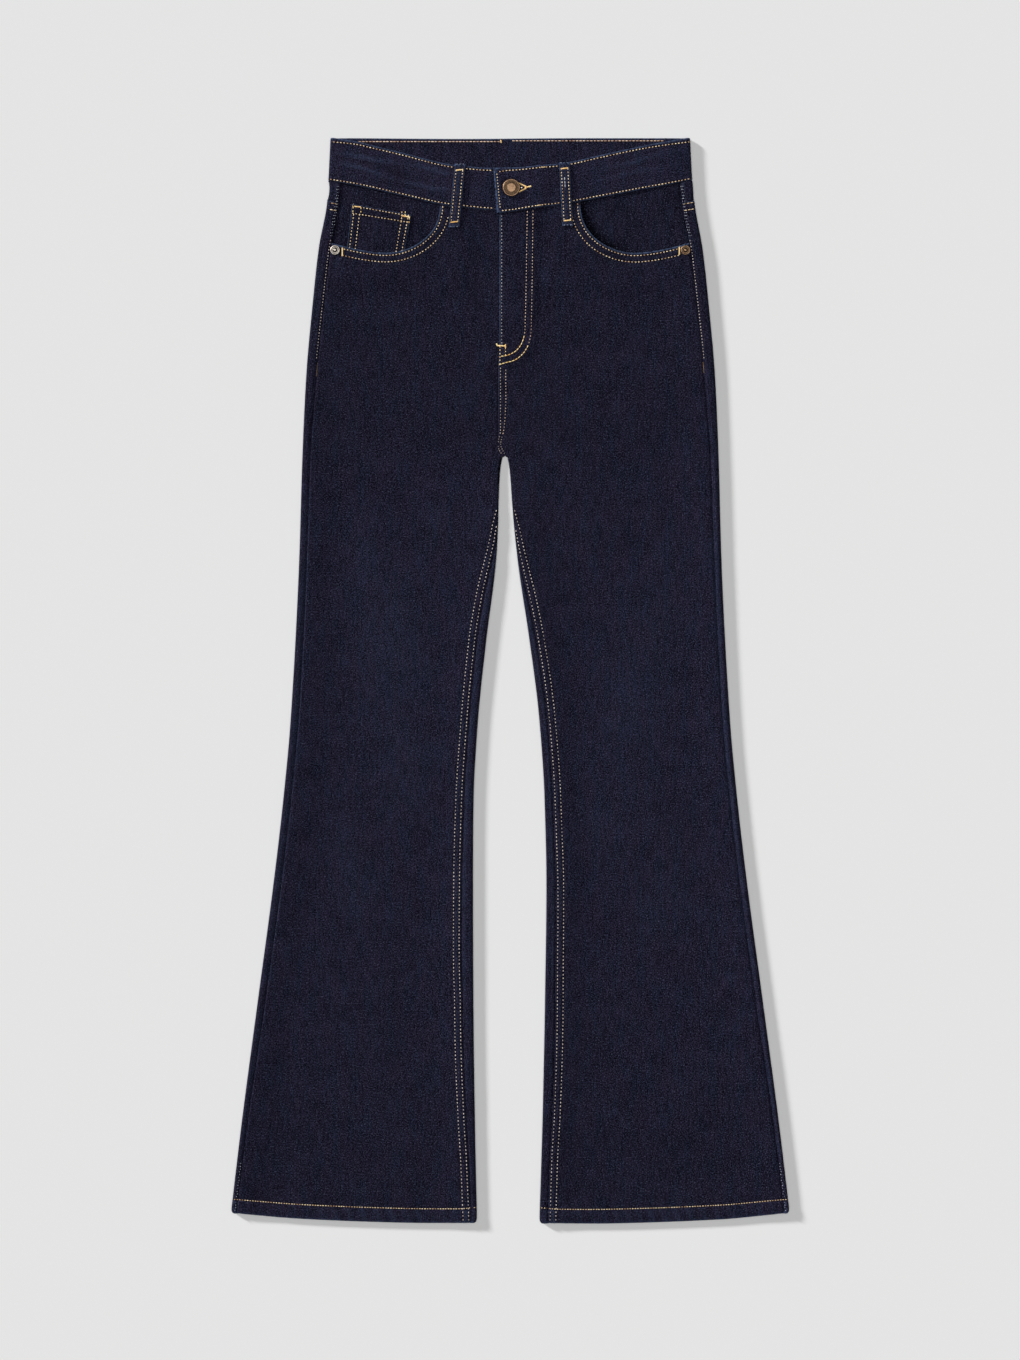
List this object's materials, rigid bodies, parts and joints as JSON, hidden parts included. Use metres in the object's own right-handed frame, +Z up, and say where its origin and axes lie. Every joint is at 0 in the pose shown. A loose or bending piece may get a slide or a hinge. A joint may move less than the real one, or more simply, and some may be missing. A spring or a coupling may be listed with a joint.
{
  "type": "flared jeans",
  "caption": "High-waisted jeans flared from the knee, laid flat with the front up, with a dipped front waistband, belt loops, curved front pockets, a closed fly and a metal shank button.",
  "frame": {"origin": "under the middle of the garment's outline, on the surface it lies on", "axes": "+Y from the hems to the waist, +X to the wearer's left, +Z up, out of the front"},
  "size_m": [0.5582, 1.0832, 0.011],
  "materials": {
    "front_denim": "dark rinsed indigo denim, matt twill",
    "back_denim": "dark rinsed indigo denim, matt twill",
    "waistband_denim": "dark rinsed indigo denim, matt twill",
    "facing_denim": "dark rinsed indigo denim, matt twill",
    "patch_denim": "dark rinsed indigo denim, matt twill",
    "loop_denim": "dark rinsed indigo denim, matt twill",
    "zip_tape": "navy woven polyester tape",
    "button_brass": "antique, satin",
    "rivet_brass": "antique, satin"
  },
  "bodies": {
    "root": {"front_right": "front_denim", "front_left": "front_denim", "back_right": "back_denim", "back_left": "back_denim", "yoke_right": "back_denim", "yoke_left": "back_denim", "waistband": "waistband_denim", "facing_right": "facing_denim", "facing_left": "facing_denim", "coin_pocket": "patch_denim", "back_pocket_right": "patch_denim", "back_pocket_left": "patch_denim", "loop_front_right": "loop_denim", "loop_front_left": "loop_denim", "loop_back_right": "loop_denim", "loop_back_centre": "loop_denim", "loop_back_left": "loop_denim", "fly_zip": "zip_tape", "button": "button_brass", "rivet_right": "rivet_brass", "rivet_left": "rivet_brass"}
  },
  "joints": []
}
